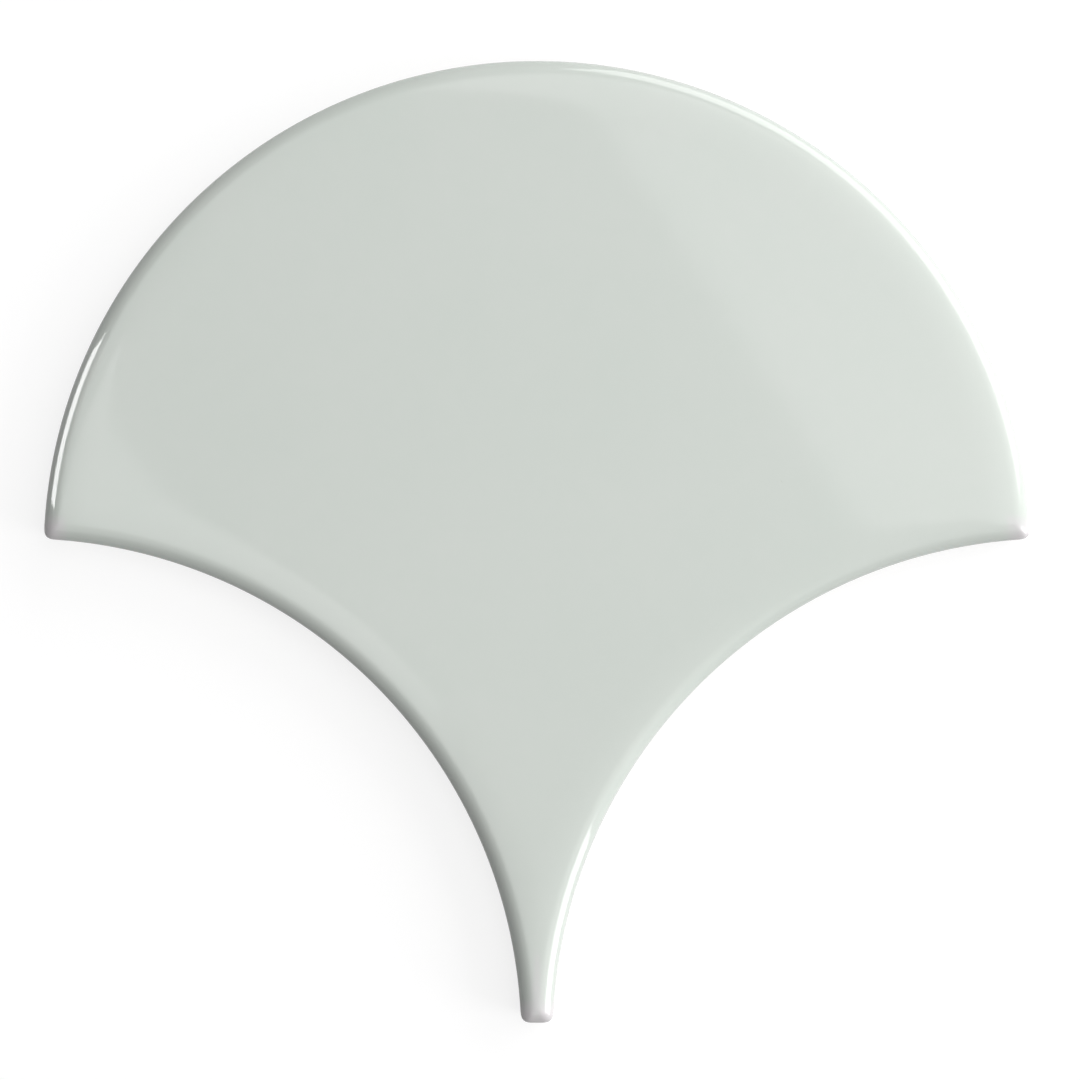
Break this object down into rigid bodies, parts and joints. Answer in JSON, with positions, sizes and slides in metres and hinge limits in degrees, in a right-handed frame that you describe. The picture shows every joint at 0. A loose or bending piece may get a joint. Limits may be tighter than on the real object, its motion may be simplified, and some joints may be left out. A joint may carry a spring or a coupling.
{
  "type": "fish-scale wall tile",
  "caption": "Glossy pale sage fish-scale wall tile: round fan head, hollow sides, blunt stem, softly rounded glazed edge and a ribbed back for adhesive.",
  "frame": {"origin": "centre of the fan head's arc, on the plane of the back's ribs and border", "axes": "+Z out of the glazed face, +Y from the origin to the crown of the fan, +X to the right wing corner"},
  "size_m": [0.1498, 0.1462, 0.008],
  "materials": {
    "glaze": "glossy pale sage glaze on the face and its rounded edge, matt unglazed biscuit on the back"
  },
  "bodies": {
    "root": {"fish_scale_tile": "glaze"}
  },
  "joints": []
}
